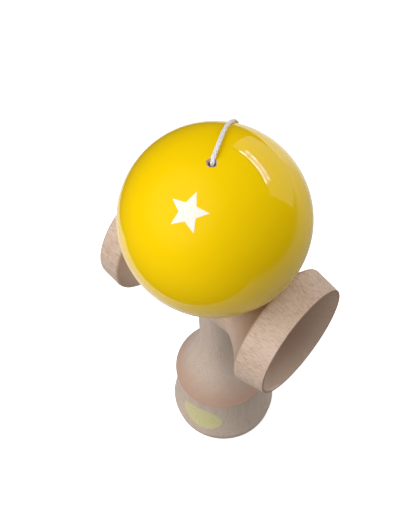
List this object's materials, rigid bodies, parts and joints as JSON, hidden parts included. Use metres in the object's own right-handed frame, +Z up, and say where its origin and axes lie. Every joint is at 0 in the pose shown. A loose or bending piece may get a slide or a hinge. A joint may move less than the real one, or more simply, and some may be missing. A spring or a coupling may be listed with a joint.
{
  "type": "kendama",
  "caption": "Cup-and-ball skill toy: turned wooden handle with a spike and a base cup, a crosspiece with two cups, and a glossy bored ball on a string.",
  "frame": {"origin": "middle of the handle's base rim, on the surface it stands on", "axes": "+Z up along the handle and spike, +X along the crosspiece towards its big cup, +Y towards the crosspiece's string hole"},
  "size_m": [0.0809, 0.091, 0.1718],
  "materials": {
    "handle_wood": "bare beech, sanded",
    "crosspiece_wood": "bare beech, sanded",
    "ball_lacquer": "high-gloss yellow lacquer over wood",
    "bead": "gloss",
    "string": "braided, matte"
  },
  "bodies": {
    "handle": {"handle": "handle_wood", "string_in_handle": "string", "handle_knot": "string"},
    "crosspiece": {"crosspiece": "crosspiece_wood", "string_in_crosspiece": "string"},
    "bead": {"bead": "bead", "bead_knot": "string", "string_in_ball": "string", "string_run": "string"},
    "ball": {"ball": "ball_lacquer"}
  },
  "joints": [
    {"name": "crosspiece_lift", "type": "slide", "parent": "handle", "child": "crosspiece", "axis": [0, 0, 1], "range_m": [0, 0.06]},
    {"name": "ball_lift", "type": "slide", "parent": "crosspiece", "child": "bead", "axis": [0, 0, 1], "range_m": [0, 0.06]},
    {"name": "ball_spin", "type": "hinge", "parent": "bead", "child": "ball", "pos_m": [0, 0, 0.1395], "axis": [0, 0, 1], "continuous": true}
  ]
}
